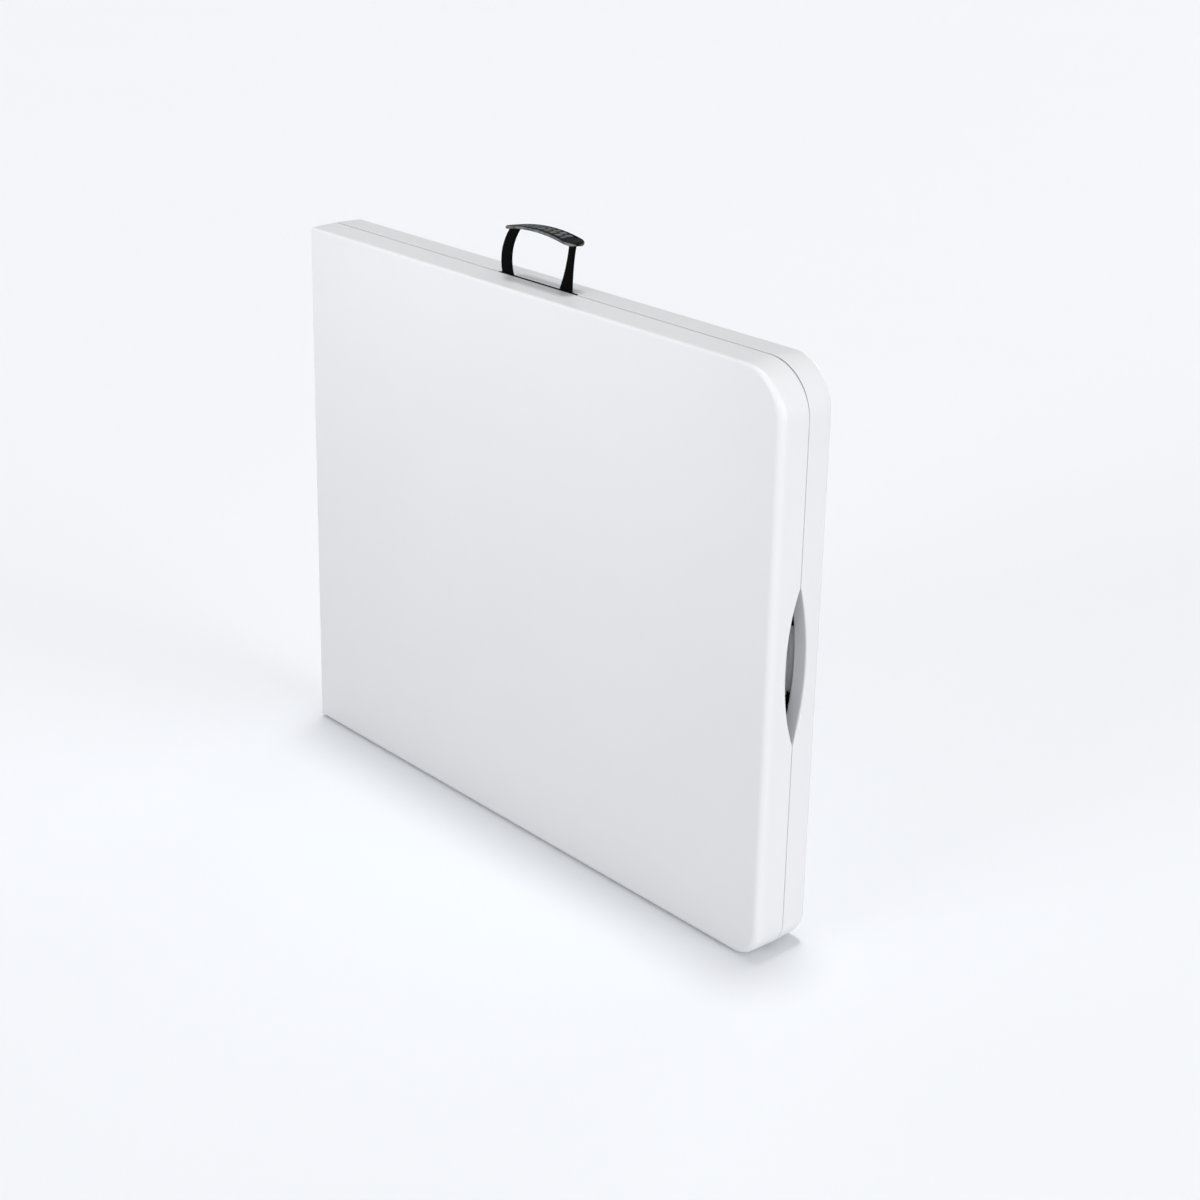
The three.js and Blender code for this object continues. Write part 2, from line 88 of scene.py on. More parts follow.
SLOT_START = -96 * mm                 # the handle's slot in half B's rim
SLOT_END = 58 * mm
# the web's black top sits this little below the rim, a dark strip put in for the shade along the slot
WEB_DROP = 0.9 * mm                   # top of the strap's web, below the rim
STATION_SPACING = 24 * mm             # between outline points on a straight side
DIMPLE_MARGIN = 62 * mm               # between the outline and the tack-off dimples
DIMPLES_ALONG = 24
DIMPLES_ACROSS = 20

# ---------------------------------------------------------------- frame and handle dimensions
TUBE_WALL = 1.2 * mm
TUBE_SIDES = 48
TOUCH = 0.3 * mm                      # the CAD model's gap between pieces that touch
BRACE_BEND = 24 * mm
GRIP_HEIGHT = 63 * mm                 # middle of the grip's ends above the rim
GRIP_ARCH = 7.5 * mm
GRIP_CORNER = 14 * mm
GRIP_WIDTH = 37 * mm
GRIP_THICKNESS = 5 * mm
GRIP_TILT = 5                         # degrees, front edge up
# each strap leg at its foot, halfway up and at the grip: (middle, width)
STRAP_LEGS = [
    [(-79 * mm, 20 * mm), (-80 * mm, 18 * mm), (-63 * mm, 17 * mm)],
    [(34.5 * mm, 22 * mm), (41 * mm, 12 * mm), (46.5 * mm, 11 * mm)],
]


# ================================================================ materials
def node_material(name, roughness, metallic=0.0, specular=0.5, stretch=(1, 1, 1)):
    """A new material, its node tree, its shader and the coordinates that its textures use."""
    material = bpy.data.materials.new(name)
    material.use_nodes = True
    shader = material.node_tree.nodes["Principled BSDF"]
    shader.inputs["Roughness"].default_value = roughness
    shader.inputs["Metallic"].default_value = metallic
    shader.inputs["Specular IOR Level"].default_value = specular
    tree = material.node_tree
    return material, tree, shader, object_coordinates(tree, stretch)


def object_coordinates(tree, stretch=(1, 1, 1)):
    coordinates = tree.nodes.new("ShaderNodeTexCoord")
    mapping = tree.nodes.new("ShaderNodeMapping")
    mapping.inputs["Scale"].default_value = stretch
    tree.links.new(coordinates.outputs["Object"], mapping.inputs["Vector"])
    return mapping.outputs["Vector"]


def noise(tree, vector, scale, detail=4.0, roughness=0.55):
    node = tree.nodes.new("ShaderNodeTexNoise")
    node.inputs["Scale"].default_value = scale
    node.inputs["Detail"].default_value = detail
    node.inputs["Roughness"].default_value = roughness
    tree.links.new(vector, node.inputs["Vector"])
    return node.outputs["Fac"]


def cells(tree, vector, scale, feature="F1"):
    node = tree.nodes.new("ShaderNodeTexVoronoi")
    node.feature = feature
    node.inputs["Scale"].default_value = scale
    tree.links.new(vector, node.inputs["Vector"])
    return node.outputs["Distance"]


def spread(tree, value, low, high, out_low, out_high):
    node = tree.nodes.new("ShaderNodeMapRange")
    node.inputs["From Min"].default_value = low
    node.inputs["From Max"].default_value = high
    node.inputs["To Min"].default_value = out_low
    node.inputs["To Max"].default_value = out_high
    tree.links.new(value, node.inputs["Value"])
    return node.outputs["Result"]


def arithmetic(tree, operation, first, second):
    node = tree.nodes.new("ShaderNodeMath")
    node.operation = operation
    for socket, value in zip(node.inputs, (first, second)):
        if isinstance(value, (int, float)):
            socket.default_value = value
        else:
            tree.links.new(value, socket)
    return node.outputs["Value"]


def two_colours(tree, shader, factor, first, second):
    mix = tree.nodes.new("ShaderNodeMix")
    mix.data_type = "RGBA"
    mix.inputs["A"].default_value = (*first, 1)
    mix.inputs["B"].default_value = (*second, 1)
    tree.links.new(factor, mix.inputs["Factor"])
    tree.links.new(mix.outputs["Result"], shader.inputs["Base Color"])


def bump(tree, shader, height, distance, strength=1.0):
    node = tree.nodes.new("ShaderNodeBump")
    node.inputs["Strength"].default_value = strength
    node.inputs["Distance"].default_value = distance
    tree.links.new(height, node.inputs["Height"])
    tree.links.new(node.outputs["Normal"], shader.inputs["Normal"])


def white_plastic():
    """Blow-moulded polyethylene: a fine pebbled skin, faint flow marks and a waxy gloss."""
    material, tree, shader, vector = node_material("white_plastic", 0.42, specular=0.42)
    flow = spread(tree, noise(tree, vector, 2.2, 3.0), 0.35, 0.65, 0, 1)
    two_colours(tree, shader, flow, (0.626, 0.633, 0.647), (0.642, 0.649, 0.662))
    sheen = noise(tree, vector, 38.0, 5.0)
    tree.links.new(spread(tree, sheen, 0.3, 0.7, 0.37, 0.47), shader.inputs["Roughness"])
    pebbles = cells(tree, vector, 620.0, "SMOOTH_F1")
    grain = arithmetic(tree, "ADD", pebbles, noise(tree, vector, 1500.0, 2.0))
    ripple = arithmetic(tree, "MULTIPLY", noise(tree, vector, 9.0, 2.0), 6.0)
    bump(tree, shader, arithmetic(tree, "ADD", grain, ripple), 0.00005, 0.55)
    return material


def black_plastic():
    """Injection-moulded black plastic: a fine spark-eroded texture and a faint random dust. Where its
    mesh carries a highlight value, as on the grip's bar tops and edges, lighter grey is painted on as a
    highlight, in patches."""
    material, tree, shader, vector = node_material("black_plastic", 0.5, specular=0.05)
    mottle = noise(tree, vector, 160.0, 6.0)
    # painted highlight: a value per point of the mesh, broken into patches by the noise
    painted_highlight = tree.nodes.new("ShaderNodeAttribute")
    painted_highlight.attribute_name = "painted_highlight"
    patchy_highlight = arithmetic(tree, "MULTIPLY", painted_highlight.outputs["Fac"], spread(tree, mottle, 0.32, 0.62, 0.35, 1))
    dust_and_highlight = arithmetic(tree, "ADD", patchy_highlight, spread(tree, mottle, 0.4, 0.7, 0, 0.07))
    # near black, and the light grey of the painted highlight; dust adds up to 0.07 of that grey anywhere
    two_colours(tree, shader, dust_and_highlight, (0.002, 0.002, 0.0024), (0.15, 0.152, 0.157))
    tree.links.new(spread(tree, mottle, 0.3, 0.7, 0.55, 0.42), shader.inputs["Roughness"])
    texture = arithmetic(tree, "ADD", cells(tree, vector, 1400.0), noise(tree, vector, 2600.0, 2.0))
    bump(tree, shader, texture, 0.00006, 0.5)
    return material


def black_nylon():
    """The strap's matt black nylon: a brushed grain along its length and almost no gloss."""
    material, tree, shader, vector = node_material(
        "black_nylon", 0.6, specular=0.03, stretch=(900, 900, 60),
    )
    grain = noise(tree, vector, 1.0, 4.0)
    tone = spread(tree, grain, 0.4, 0.7, 0, 1)
    two_colours(tree, shader, tone, (0.0006, 0.0006, 0.0007), (0.0022, 0.0022, 0.0024))
    tree.links.new(spread(tree, grain, 0.3, 0.7, 0.55, 0.7), shader.inputs["Roughness"])
    bump(tree, shader, grain, 0.00008, 0.5)
    return material


def powder_coat():
    """Grey powder coat on steel: an orange-peel skin, a little darker where it ran thin."""
    material, tree, shader, vector = node_material("powder_coat", 0.4, specular=0.5)
    thin = noise(tree, vector, 14.0, 5.0)
    tone = spread(tree, thin, 0.35, 0.7, 0, 1)
    two_colours(tree, shader, tone, (0.62, 0.633, 0.648), (0.67, 0.682, 0.692))
    tree.links.new(spread(tree, thin, 0.3, 0.7, 0.36, 0.46), shader.inputs["Roughness"])
    peel = arithmetic(tree, "ADD", noise(tree, vector, 420.0, 2.0), noise(tree, vector, 1100.0, 2.0))
    bump(tree, shader, peel, 0.00012, 0.5)
    return material


def zinc_steel():
    """Zinc-plated steel: drawn lines, cloudy passivation and duller patches."""
    material, tree, shader, vector = node_material("zinc_steel", 0.3, metallic=1.0)
    cloud = noise(tree, vector, 60.0, 4.0)
    tone = spread(tree, cloud, 0.35, 0.65, 0, 1)
    two_colours(tree, shader, tone, (0.50, 0.51, 0.53), (0.62, 0.61, 0.58))
    tree.links.new(spread(tree, cloud, 0.3, 0.7, 0.26, 0.42), shader.inputs["Roughness"])
    lines = noise(tree, object_coordinates(tree, (60, 1400, 900)), 1.0, 3.0)
    bump(tree, shader, lines, 0.00005, 0.5)
    return material


def soft_rubber():
    """Matt black rubber with dust in its grain."""
    material, tree, shader, vector = node_material("soft_rubber", 0.8, specular=0.3)
    dust = noise(tree, vector, 90.0, 6.0)
    tone = spread(tree, dust, 0.45, 0.8, 0, 1)
    two_colours(tree, shader, tone, (0.014, 0.014, 0.015), (0.05, 0.049, 0.047))
    tree.links.new(spread(tree, dust, 0.3, 0.7, 0.72, 0.9), shader.inputs["Roughness"])
    bump(tree, shader, noise(tree, vector, 900.0, 3.0), 0.00015, 0.6)
    return material


def floor_paint():
    """A plain pale studio floor."""
    material, tree, shader, vector = node_material("floor_paint", 0.9, specular=0.1)
    tone = spread(tree, noise(tree, vector, 0.7, 2.0), 0.3, 0.7, 0, 1)
    two_colours(tree, shader, tone, (0.814, 0.828, 0.854), (0.819, 0.833, 0.859))
    return material


WHITE = white_plastic()
BLACK = black_plastic()
NYLON = black_nylon()
GREY = powder_coat()
ZINC = zinc_steel()
RUBBER = soft_rubber()


# ================================================================ mesh helpers
def turned_over():
    """Takes half A's place, with z from mid-width, to half B's place in the frame."""
    return Matrix.Translation((0, 0, MID_Z)) @ Matrix.Rotation(math.pi, 4, "X")


def added(name, data):
    """A new object in the scene: a mesh, a light or a camera."""
    made = bpy.data.objects.new(name, data)
    bpy.context.scene.collection.objects.link(made)
    return made


def added_mesh(name, mesh_bm):
    """A new object in the scene from a bmesh, which is used up."""
    mesh = bpy.data.meshes.new(name)
    mesh_bm.to_mesh(mesh)
    mesh_bm.free()
    return added(name, mesh)


def finished(name, mesh_bm, material, body, replaced=None, sharp_angle=34, place=None):
    """A piece from a bmesh: smooth where it is round, riding on its body, for a CAD node or new."""
    bmesh.ops.recalc_face_normals(mesh_bm, faces=mesh_bm.faces)
    if place is not None:
        mesh_bm.transform(place)
    piece = added_mesh(name, mesh_bm)
    for polygon in piece.data.polygons:
        polygon.use_smooth = True
    piece.data.set_sharp_from_angle(angle=math.radians(sharp_angle))
    piece.data.materials.append(material)
    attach(piece, body)
    if replaced:
        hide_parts(replaced)
    return piece


def stand_in(node, mesh_bm, material, body, sharp_angle=34):
    """A detailed piece in the place of one CAD node."""
    finished(f"{node}_skin", mesh_bm, material, body, node, sharp_angle)


def ring_of(mesh_bm, points):
    return [mesh_bm.verts.new(p) for p in points]


def bridge(mesh_bm, first, second):
    """A band of faces between two closed loops, one of which can be a single point."""
    count = max(len(first), len(second))
    for i in range(count):
        places = [(first, i), (first, i + 1), (second, i + 1), (second, i)]
        corners = [loop[place % len(loop)] for loop, place in places]
        mesh_bm.faces.new(list(dict.fromkeys(corners)))


def circle(count):
    """Even steps round a circle: (angle, cosine, sine)."""
    angles = [2 * math.pi * i / count for i in range(count)]
    return [(angle, math.cos(angle), math.sin(angle)) for angle in angles]


def quarter(steps):
    """Even steps through a right angle, both ends included: (cosine, sine)."""
    angles = [math.pi / 2 * i / steps for i in range(steps + 1)]
    return [(math.cos(angle), math.sin(angle)) for angle in angles]


def rounded_rectangle(half_x, half_y, radius, steps=4):
    points = []
    for quadrant in range(4):
        x = (half_x - radius) * (1 if quadrant in (0, 3) else -1)
        y = (half_y - radius) * (1 if quadrant in (0, 1) else -1)
        for i in range(steps + 1):
            angle = math.pi / 2 * (quadrant + i / steps)
            points.append((x + radius * math.cos(angle), y + radius * math.sin(angle)))
    return points


def skin(mesh_bm, loops):
    """Bands of faces from each loop to the next."""
    for first, second in zip(loops, loops[1:]):
        bridge(mesh_bm, first, second)


def frame_along(axis):
    """Two directions that make a right-handed set with a unit axis."""
    side = Vector((0, 0, 1)).cross(axis)
    if side.length < 0.1:
        side = Vector((1, 0, 0))
    side.normalize()
    return side, axis.cross(side)


def turned(mesh_bm, origin, axis, profile, sides=TUBE_SIDES, flute=None):
    """A turned shape: profile is (distance along the axis, radius), from one end to the other.
    A profile that starts and ends on the axis is solid; one that closes on itself is a ring."""
    axis = Vector(axis).normalized()
    side, up = frame_along(axis)
    origin = Vector(origin)
    loops = []
    for along, radius in profile:
        centre = origin + axis * along
        if radius < 1e-7:
            loops.append([mesh_bm.verts.new(centre)])
            continue
        points = []
        for angle, c, s in circle(sides):
            reach = radius + (flute(along, radius, angle) if flute else 0.0)
            points.append(centre + (side * c + up * s) * reach)
        loops.append(ring_of(mesh_bm, points))
    skin(mesh_bm, loops)
    if len(loops[0]) > 1:
        bridge(mesh_bm, loops[-1], loops[0])


def dome(along, height, outer, inner=0.0, steps=6):
    """A quarter round in a turned profile, going up and in from one radius to another."""
    return [(along + height * s, inner + (outer - inner) * c) for c, s in quarter(steps)[1:]]


def turned_stand_in(node, material, body, index, way, profile, sides=TUBE_SIDES, flute=None):
    """A turned piece in the place of one CAD node. Its profile runs along, or against, an axis."""
    mesh_bm = bmesh.new()
    turned(mesh_bm, face_middle(node, index, -way), unit(index, way), profile, sides, flute)
    stand_in(node, mesh_bm, material, body)


def unit(index, way=1):
    axis = Vector((0, 0, 0))
    axis[index] = way
    return axis


def size_of(node):
    low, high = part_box(node)
    return high - low


def face_middle(node, index, sign):
    """The middle of one face of a node's box: the one that looks along an axis, or against it."""
    low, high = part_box(node)
    point = (low + high) / 2
    point[index] = high[index] if sign > 0 else low[index]
    return point


def outward(node):
    """The way along Z from the table's mid-width to a node."""
    low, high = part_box(node)
    return 1 if low.z + high.z > 2 * MID_Z else -1


def long_axis(node):
    """A tube's axis: its index, its unit vector, and the tube's length and radius."""
    size = size_of(node)
    index = max(range(3), key=lambda i: size[i])
    return index, unit(index), size[index], max(size[i] for i in range(3) if i != index) / 2


# ================================================================ panels
def lens_depth(z):
    """How far the finger opening bites into a half at a height from mid-width, an arc."""
    half = LENS_LENGTH / 2
    radius = (half ** 2 + LENS_DEPTH ** 2) / (2 * LENS_DEPTH)
    if abs(z) >= half:
        return 0.0
    return math.sqrt(radius ** 2 - z ** 2) - (radius - LENS_DEPTH)


def straight(start, end, spacing):
    count = max(1, round(abs(end - start) / spacing))
    return [start + (end - start) * i / count for i in range(count + 1)]


def stepped(start, end, steps, spacing):
    """Places along a side, with a close pair at each step so that a pocket's side is upright."""
    going = 1 if end > start else -1
    marks = [start]
    for step in sorted(steps, key=lambda s: s * going):
        marks += straight(marks[-1], step - going * STEP / 2, spacing)[1:]
        marks.append(step + going * STEP / 2)
    marks += straight(marks[-1], end, spacing)[1:]
    return marks


def outer_corners(is_b):
    """The outline's radii at the outer end: at the high z side, and at the low one."""
    return (FLOOR_CORNER, HANDLE_CORNER) if is_b else (HANDLE_CORNER, FLOOR_CORNER)


def panel_outline(is_b):
    """The stations around a panel. Each is (kind, place, seam level, seam rounding)."""
    high_corner, low_corner = outer_corners(is_b)
    z_fold = WIDTH / 2 - FOLD_CORNER
    x_fold = FOLD_X + FOLD_CORNER
    lens = -LENS_RISE if is_b else LENS_RISE
    half_lens = LENS_LENGTH / 2
    pocket_floor = LEAF_LOW.y - 0.5 * mm
    slot_floor = -(STRAP_HIGH.y + 0.3 * mm)
    hinge = (LEAF_LOW.z + LEAF_HIGH.z) / 2 - MID_Z
    pocket_steps = [side * hinge + edge * POCKET_HALF for side in (-1, 1) for edge in (-1, 1)]

    stations = []

    def add(kind, place, level=None, rounding=None):
        back = around(kind, place, 0, SEAM_BACK, SEAM_BACK, SEAM_BACK)
        bottom = SEAM_ROUNDING_SLOT if is_b else SEAM_ROUNDING
        usual = around(kind, place, SEAM_ROUNDING_END, SEAM_ROUNDING, SEAM_ROUNDING_FOLD, bottom)
        stations.append((kind, place, -SEAM - back if level is None else level, rounding or usual))

    def end_side(z):
        depth = lens_depth(z - lens)
        ease = min(1.0, depth / (LENS_DEPTH * 0.5))
        rounding = SEAM_ROUNDING_END + (LENS_ROUNDING - SEAM_ROUNDING_END) * ease
        add("end", z, -SEAM - depth, rounding)

    def corner(kind, count):
        for i in range(count):
            add(kind, i / count)

    marks = [low_corner - WIDTH / 2, lens - half_lens, lens + half_lens, WIDTH / 2 - high_corner]
    for start, end, spacing in zip(marks, marks[1:], (STATION_SPACING, 3 * mm, STATION_SPACING)):
        for z in straight(start, end, spacing)[:-1]:
            end_side(z)
    corner("end_top", 20)
    for x in straight(END_X - high_corner, x_fold, STATION_SPACING)[:-1]:
        add("top", x)
    corner("fold_top", 8)
    for z in stepped(z_fold, -z_fold, pocket_steps, STATION_SPACING)[:-1]:
        inside = any(abs(z - side * hinge) < POCKET_HALF for side in (-1, 1))
        add("fold", z, pocket_floor if inside else None)
    corner("fold_bottom", 8)
    bottom_steps = [SLOT_START, SLOT_END] if is_b else []
    for x in stepped(x_fold, END_X - low_corner, bottom_steps, STATION_SPACING)[:-1]:
        inside = is_b and SLOT_START < x < SLOT_END
        add("bottom", x, slot_floor if inside else None)
    corner("end_bottom", 20)
    return stations


def station_point(kind, place, inset, is_b):
    """A station's (x, z) at a distance in from the panel's outline."""
    z_out = WIDTH / 2 - inset
    small = max(FOLD_CORNER - inset, 1 * mm)
    x_small = FOLD_X + inset + small
    z_small = z_out - small
    if kind == "end":
        return END_X - inset, place
    if kind == "top":
        return max(place, x_small), z_out
    if kind == "bottom":
        return max(place, x_small), -z_out
    if kind == "fold":
        return FOLD_X + inset, max(-z_small, min(z_small, place))
    high, low = outer_corners(is_b)
    start, cx, cz, radius = {
        "end_top": (0, END_X - high, WIDTH / 2 - high, high - inset),
        "fold_top": (1, x_small, z_small, small),
        "fold_bottom": (2, x_small, -z_small, small),
        "end_bottom": (3, END_X - low, low - WIDTH / 2, low - inset),
    }[kind]
    angle = (start + place) * math.pi / 2
    return cx + radius * math.cos(angle), cz + radius * math.sin(angle)


def around(kind, place, end, top, fold, bottom):
    """A size with its own value on each side of the panel, easing through the corners."""
    start, finish, along = {
        "end": (end, end, 0),
        "end_top": (end, top, place),
        "top": (top, top, 0),
        "fold_top": (top, fold, place),
        "fold": (fold, fold, 0),
        "fold_bottom": (fold, bottom, place),
        "bottom": (bottom, bottom, 0),
        "end_bottom": (bottom, end, place),
    }[kind]
    return start + (finish - start) * along * along * (3 - 2 * along)


def edge_rounding(kind, place, is_b):
    """The table top's edge: rounder along the floor and at the outer end."""
    top, bottom = (FLOOR_ROUNDING, EDGE_ROUNDING) if is_b else (EDGE_ROUNDING, FLOOR_ROUNDING)
    return around(kind, place, END_ROUNDING, top, EDGE_ROUNDING, bottom)


def rim_profile():
    """From the table top over the edge, down the side, across the rim and into the tray.
    A "top" row is (inset, drop) in edge roundings, a "seam" row is (inset, inset and rise in
    seam roundings) and a "floor" row is (inset, depth)."""
    rows = [("top", 1.6, 0.0), ("top", 1.2, 0.0)]
    rows += [("top", 1 - s, 1 - c) for c, s in quarter(8)]
    rows += [("top", 0, 1.15), ("seam", 0.0, 0.0, 1.6)]
    rows += [("seam", 0.0, 1 - c, 1 - s) for c, s in quarter(5)]
    rows += [("seam", 0.0, 1.7, 0.0), ("seam", RIM, -1.7, 0.0)]
    rows += [("seam", RIM, s - 1, 1 - c) for c, s in quarter(5)]
    rows.append(("seam", RIM, 0.0, 1.6))
    floor = THICKNESS - DECK
    fillet = 1.8 * mm
    rows.append(("floor", RIM, floor - fillet * 1.5))
    rows += [("floor", RIM + fillet * (1 - c), floor - fillet * (1 - s)) for c, s in quarter(4)]
    rows.append(("floor", RIM + fillet + 0.6 * mm, floor))
    return rows


def row_point(row, station, is_b):
    kind, place, level, rounding = station
    if row[0] == "top":
        radius = edge_rounding(kind, place, is_b)
        depth = THICKNESS - row[2] * radius
        x, z = station_point(kind, place, row[1] * radius + DRAFT * depth / THICKNESS, is_b)
        return Vector((x, -depth, z))
    if row[0] == "floor":
        x, z = station_point(kind, place, row[1], is_b)
        return Vector((x, -row[2], z))
    inset = row[1] + row[2] * rounding
    depth = row[3] * rounding - level
    if row[1] < RIM:
        inset += DRAFT * depth / THICKNESS
    x, z = station_point(kind, place, inset, is_b)
    return Vector((x, -depth, z))


def dimple_cell(mesh_bm, x, z, size_x, size_z, y):
    """One moulded tack-off: a cone pressed into the underside, in a square of flat deck."""
    square = []
    for _, c, s in circle(16):
        stretch = 1 / max(abs(c), abs(s))
        square.append(Vector((x + size_x / 2 * c * stretch, y, z + size_z / 2 * s * stretch)))
    rings = [(11.6, 0.0), (10.8, 0.25), (10.2, 0.9), (7.0, 6.2), (6.4, 6.9), (5.4, 7.2)]
    loops = [ring_of(mesh_bm, square)]
    for radius, depth in rings:
        points = []
        for corner in square:
            flat = Vector((corner.x - x, 0, corner.z - z)).normalized() * radius * mm
            points.append(Vector((x + flat.x, y - depth * mm, z + flat.z)))
        loops.append(ring_of(mesh_bm, points))
    skin(mesh_bm, loops)
    mesh_bm.faces.new(loops[-1])


def build_panel(half):
    """A tray with rounded edges, a finger opening, hinge pockets and a field of tack-off dimples."""
    is_b = half == "b"
    stations = panel_outline(is_b)
    mesh_bm = bmesh.new()
    loops = [ring_of(mesh_bm, [row_point(row, s, is_b) for s in stations]) for row in rim_profile()]
    skin(mesh_bm, loops)
    mesh_bm.faces.new(loops[0])

    floor = -(THICKNESS - DECK)
    x0 = FOLD_X + DIMPLE_MARGIN
    z0 = DIMPLE_MARGIN - WIDTH / 2
    size_x = (END_X - DIMPLE_MARGIN - x0) / DIMPLES_ALONG
    size_z = -2 * z0 / DIMPLES_ACROSS
    for i in range(DIMPLES_ALONG):
        for k in range(DIMPLES_ACROSS):
            dimple_cell(mesh_bm, x0 + size_x * (i + 0.5), z0 + size_z * (k + 0.5), size_x, size_z, floor)
    bmesh.ops.remove_doubles(mesh_bm, verts=mesh_bm.verts, dist=0.02 * mm)
    border = [e for e in mesh_bm.edges if len(e.link_faces) == 1]
    bmesh.ops.triangle_fill(mesh_bm, edges=border, use_beauty=True)
    place = turned_over() if is_b else Matrix.Translation((0, 0, MID_Z))
    finished(f"panel_{half}_moulding", mesh_bm, WHITE, f"half_{half}", f"panel_{half}", place=place)


build_panel("a")
build_panel("b")

SIDES = ("floor_side", "handle_side")


# ================================================================ frame and legs
def seam_sign(half):
    """Which way along Y the seam lies from a half's own pieces."""
    return 1 if half == "a" else -1


def build_rail(half, side):
    """A square steel tube with rounded corners and open ends, and the screws that hold it."""
    node = f"rail_{half}_{side}"
    low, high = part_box(node)
    centre = (low + high) / 2
    outer = (high.z - low.z) / 2
    corner, wall, ease = 3.0 * mm, 1.5 * mm, 0.4 * mm
    mesh_bm = bmesh.new()

    def section(x, reach, radius):
        outline = rounded_rectangle(reach, reach, radius, 5)
        return ring_of(mesh_bm, [(x, centre.y + y, centre.z + z) for y, z in outline])

    loops = [
        section(low.x, outer - ease, corner - ease),
        section(low.x + ease, outer, corner),
        section(high.x - ease, outer, corner),
        section(high.x, outer - ease, corner - ease),
        section(high.x, outer - wall, corner - wall),
        section(low.x, outer - wall, corner - wall),
    ]
    skin(mesh_bm, loops + loops[:1])
    stand_in(node, mesh_bm, GREY, f"half_{half}")

    y = centre.y + seam_sign(half) * outer
    xs = [low.x + (high.x - low.x) * share for share in (0.27, 0.49, 0.71, 0.93)]
    screws(node, [(x, y, centre.z) for x in xs], 4.2 * mm, half)


def screws(node, places, radius, half):
    """Pan-head screws with a hexagon socket in a piece of a half, their heads towards the seam."""
    height = radius * 0.55
    socket = radius * 0.5

    def hexagon(along, reach, angle):
        if reach > socket + 1e-6:
            return 0.0
        return reach * (math.cos(math.pi / 6) / math.cos(angle % (math.pi / 3) - math.pi / 6) - 1)

    profile = [(-0.6 * mm, 0), (-0.6 * mm, radius * 0.96), (0, radius)]
    profile += dome(0, height, radius, socket * 1.25, 8)[:-1]
    profile += [(height, socket * 1.12), (height - 0.1 * mm, socket)]
    profile += [(height * 0.3, socket), (height * 0.25, 0)]
    for number, place in enumerate(places, start=1):
        mesh_bm = bmesh.new()
        turned(mesh_bm, place, unit(1, seam_sign(half)), profile, 36, hexagon)
        finished(f"{node}_screw_{number}", mesh_bm, ZINC, f"half_{half}")


def saddled_tube(node, body, low_radius=0.0, high_radius=0.0):
    """A round tube. An end that meets another tube side-on is cut to its curve."""
    index, axis, length, radius = long_axis(node)
    origin = face_middle(node, index, -1)
    bore = radius - TUBE_WALL
    ease = 0.35 * mm
    profile = [
        (0, radius - ease), (ease, radius), (length - ease, radius), (length, radius - ease),
        (length, bore + ease / 2), (length - ease, bore), (ease, bore), (0, bore + ease / 2),
    ]
    mesh_bm = bmesh.new()
    turned(mesh_bm, origin, axis, profile)
    for vert in mesh_bm.verts:
        along = vert.co[index] - origin[index]
        off = vert.co.y - origin.y
        if high_radius and along > length / 2:
            vert.co[index] += saddle_shift(high_radius, off)
        if low_radius and along < length / 2:
            vert.co[index] -= saddle_shift(low_radius, off)
    stand_in(node, mesh_bm, GREY, body)


def saddle_shift(radius, off):
    """How much longer a tube is at a distance off its middle plane, where it meets a round one."""
    return radius + TOUCH - math.sqrt(max(radius ** 2 - off ** 2, 0.0)) - 0.02 * mm


def weld_bead(mesh_bm, node, at_high, radius_met):
    """A rippled bead of weld around the end of a tube that meets another side-on."""
    index, axis, _, radius = long_axis(node)
    going = 1 if at_high else -1
    onward = axis * going
    end = face_middle(node, index, going)
    cross = 2 if index == 0 else 0
    thick, ripple, ripples, sunk = 1.5 * mm, 0.28 * mm, 24, 0.6 * mm
    loops = []
    for angle, c, s in circle(96):
        out = Vector((0, c, 0))
        out[cross] = s
        point = end + out * radius
        point += onward * (saddle_shift(radius_met, point.y - end.y) - sunk)
        reach = thick + ripple * math.sin(angle * ripples)
        ring = [point + (out * c_bead + onward * s_bead) * reach for _, c_bead, s_bead in circle(8)]
        loops.append(ring_of(mesh_bm, ring))
    skin(mesh_bm, loops + loops[:1])


def build_collar(half, side):
    """A twist lock: fluted for the fingers, with a plain lip and one wide mark."""
    node = f"leg_{half}_collar_{side}"
    size = size_of(node)
    radius = size.z / 2
    length = size.x
    lip_bore, body_bore, groove = 11.1 * mm, 12.8 * mm, 0.7 * mm

    def flutes(along, reach, angle):
        if reach < radius - 1.5 * mm or not 9 * mm < along < 34 * mm:
            return 0.0
        mark = max(0.0, 1 - abs((angle + math.pi) % (2 * math.pi) - math.pi) / 0.16)
        return -0.75 * mm * (0.5 - 0.5 * math.cos(20 * angle)) ** 2 - 0.5 * mm * min(1.0, 2 * mark)

    profile = [
        (0, lip_bore + 0.3 * mm), (0, radius - 1.2 * mm), (0.4 * mm, radius - 0.4 * mm),
        (1.2 * mm, radius), (5.5 * mm, radius), (6.2 * mm, radius - groove),
        (7.4 * mm, radius - groove), (8.2 * mm, radius), (9 * mm, radius), (10 * mm, radius),
        (21 * mm, radius), (33 * mm, radius), (34 * mm, radius), (length - 4 * mm, radius),
        (length - 0.6 * mm, radius - 0.8 * mm), (length, body_bore + 0.7 * mm),
        (length - 0.3 * mm, body_bore), (6.6 * mm, body_bore), (6.4 * mm, lip_bore),
        (0.3 * mm, lip_bore),
    ]
    turned_stand_in(node, BLACK, f"collar_{half}_{side}", 0, 1, profile, 160, flutes)


